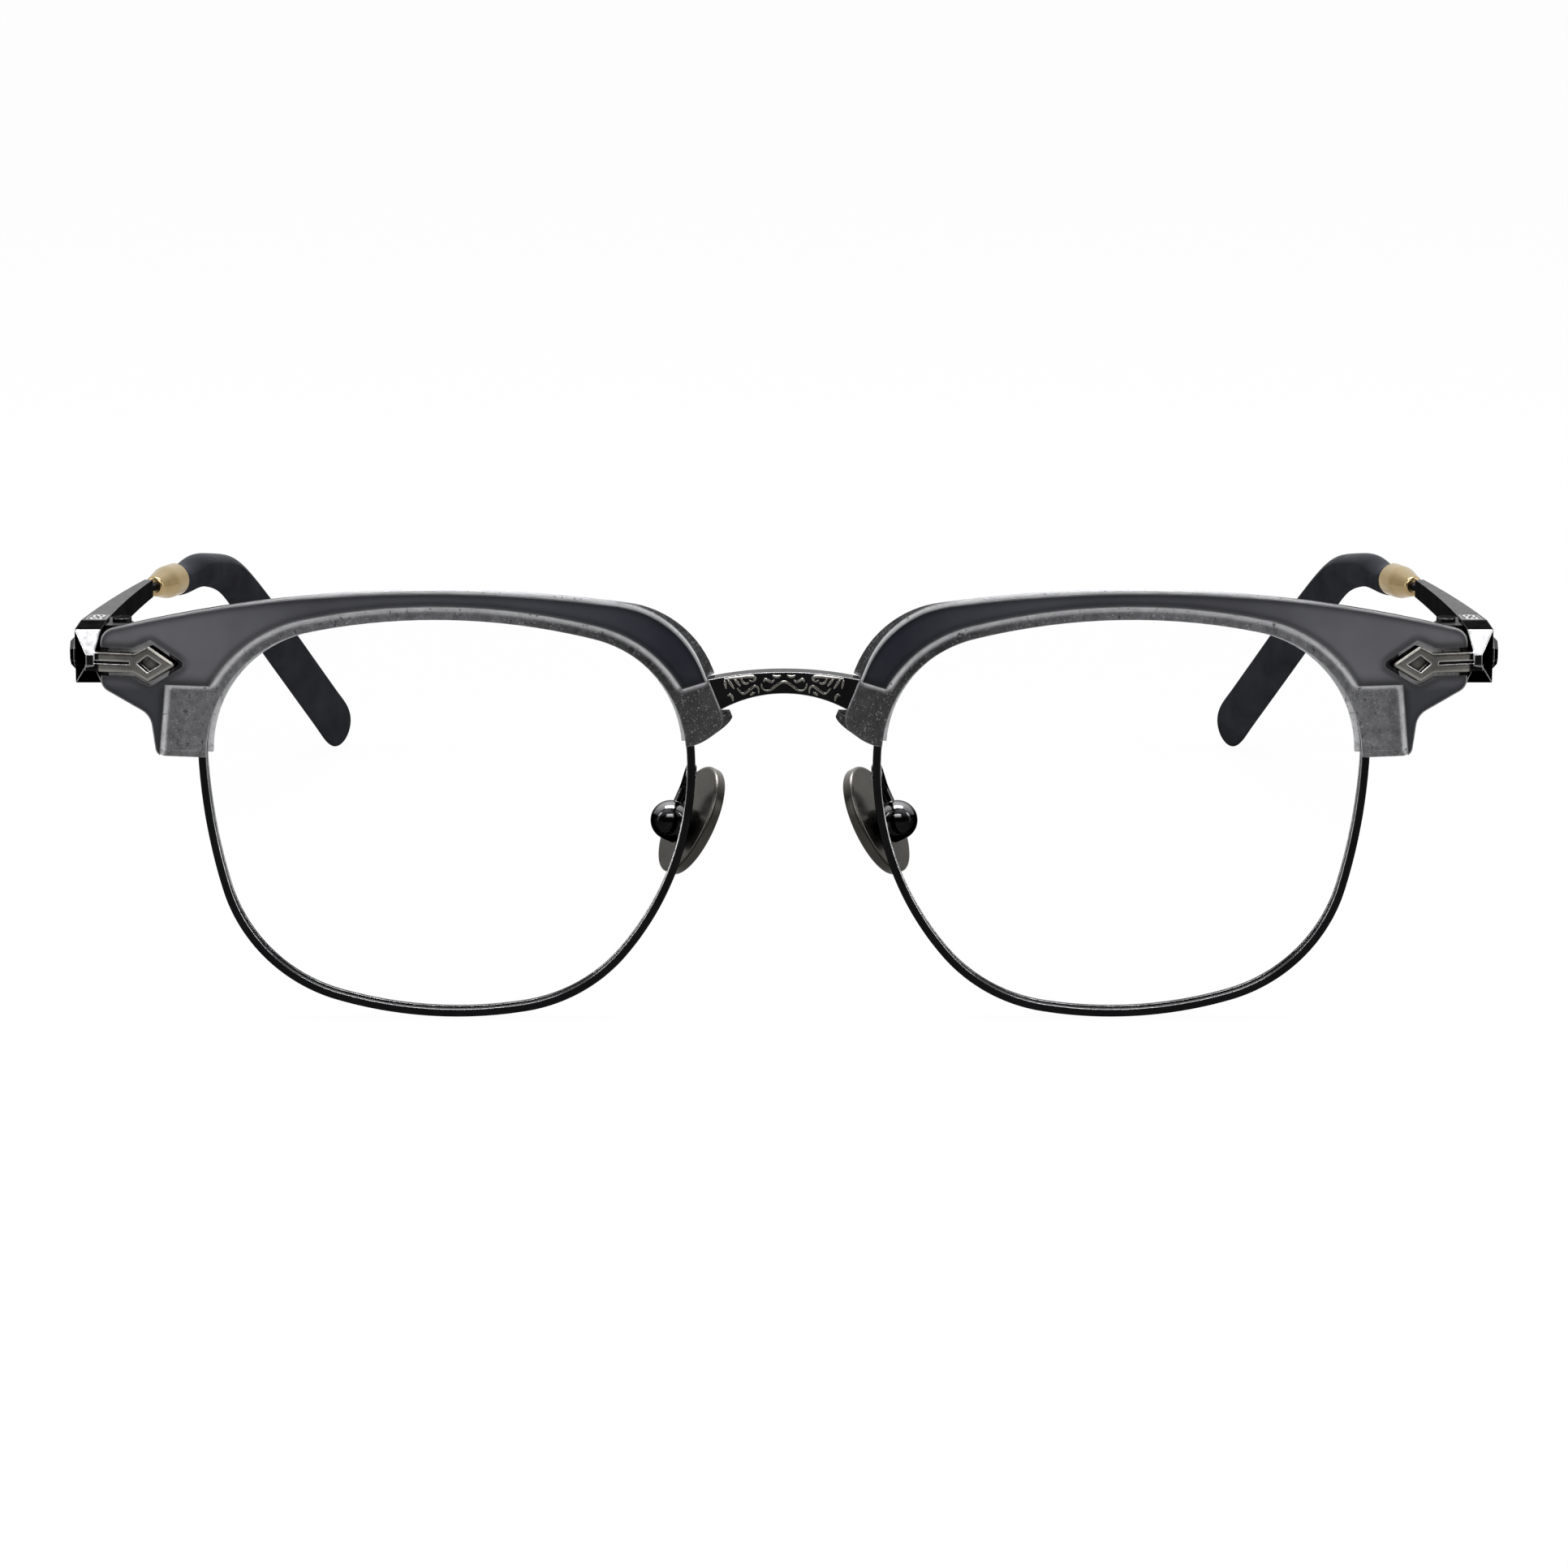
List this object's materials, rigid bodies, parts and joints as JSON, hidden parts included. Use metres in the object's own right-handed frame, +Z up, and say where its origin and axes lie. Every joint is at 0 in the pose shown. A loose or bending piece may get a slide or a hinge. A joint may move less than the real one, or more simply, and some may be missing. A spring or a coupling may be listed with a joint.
{
  "type": "browline glasses",
  "caption": "Browline glasses with metal rims, dark and clear acetate brows, an arched bridge, rocking nose pads and folding metal temples with bent tips.",
  "frame": {"origin": "on the table, under the middle of the open glasses", "axes": "+X to the wearer's left, +Y from the front towards the ears, +Z up"},
  "size_m": [0.153, 0.1412, 0.0454],
  "materials": {
    "dark_metal": "polished black nickel",
    "pewter": "polished, slightly warm",
    "steel": "turned",
    "gold": "satin champagne plating",
    "pad_metal": "polished",
    "dark_acetate": "polished",
    "clear_acetate": "polished, translucent",
    "lens": "clear",
    "tip": "satin"
  },
  "bodies": {
    "front": {"bridge": "dark_metal", "rim_left": "dark_metal", "rim_right": "dark_metal", "lens_left": "lens", "lens_right": "lens", "rim_screw_left": "steel", "rim_screw_right": "steel", "brow_left": "clear_acetate", "brow_right": "clear_acetate", "brow_face_left": "dark_acetate", "brow_face_right": "dark_acetate", "brow_screws_left": "steel", "brow_screws_right": "steel", "end_piece_left": "pewter", "end_piece_right": "pewter", "stud_left": "pewter", "stud_right": "pewter", "hinge_leaf_front_left": "dark_metal", "hinge_leaf_front_right": "dark_metal", "hinge_screw_left": "steel", "hinge_screw_right": "steel", "pad_screw_left": "steel", "pad_screw_right": "steel", "pad_arm_left": "dark_metal", "pad_arm_right": "dark_metal"},
    "temple_arm_left": {"temple_left": "dark_metal", "hinge_leaf_temple_left": "dark_metal", "ferrule_left": "gold", "temple_tip_left": "tip"},
    "pad_left": {"nose_pad_left": "pad_metal"},
    "temple_arm_right": {"temple_right": "dark_metal", "hinge_leaf_temple_right": "dark_metal", "ferrule_right": "gold", "temple_tip_right": "tip"},
    "pad_right": {"nose_pad_right": "pad_metal"}
  },
  "joints": [
    {"name": "fold_left", "type": "hinge", "parent": "front", "child": "temple_arm_left", "pos_m": [0.0693, -0.05956, 0.03785], "axis": [0, 0, 1], "range_deg": [0, 79]},
    {"name": "fold_right", "type": "hinge", "parent": "front", "child": "temple_arm_right", "pos_m": [-0.0693, -0.05956, 0.03785], "axis": [0, 0, -1], "range_deg": [0, 85]},
    {"name": "pad_rock_left", "type": "hinge", "parent": "front", "child": "pad_left", "pos_m": [0.0116, -0.06323, 0.0197], "axis": [0.5, 0.866, 0], "range_deg": [-8, 8]},
    {"name": "pad_rock_right", "type": "hinge", "parent": "front", "child": "pad_right", "pos_m": [-0.0116, -0.06323, 0.0197], "axis": [-0.5, 0.866, 0], "range_deg": [-8, 8]}
  ]
}
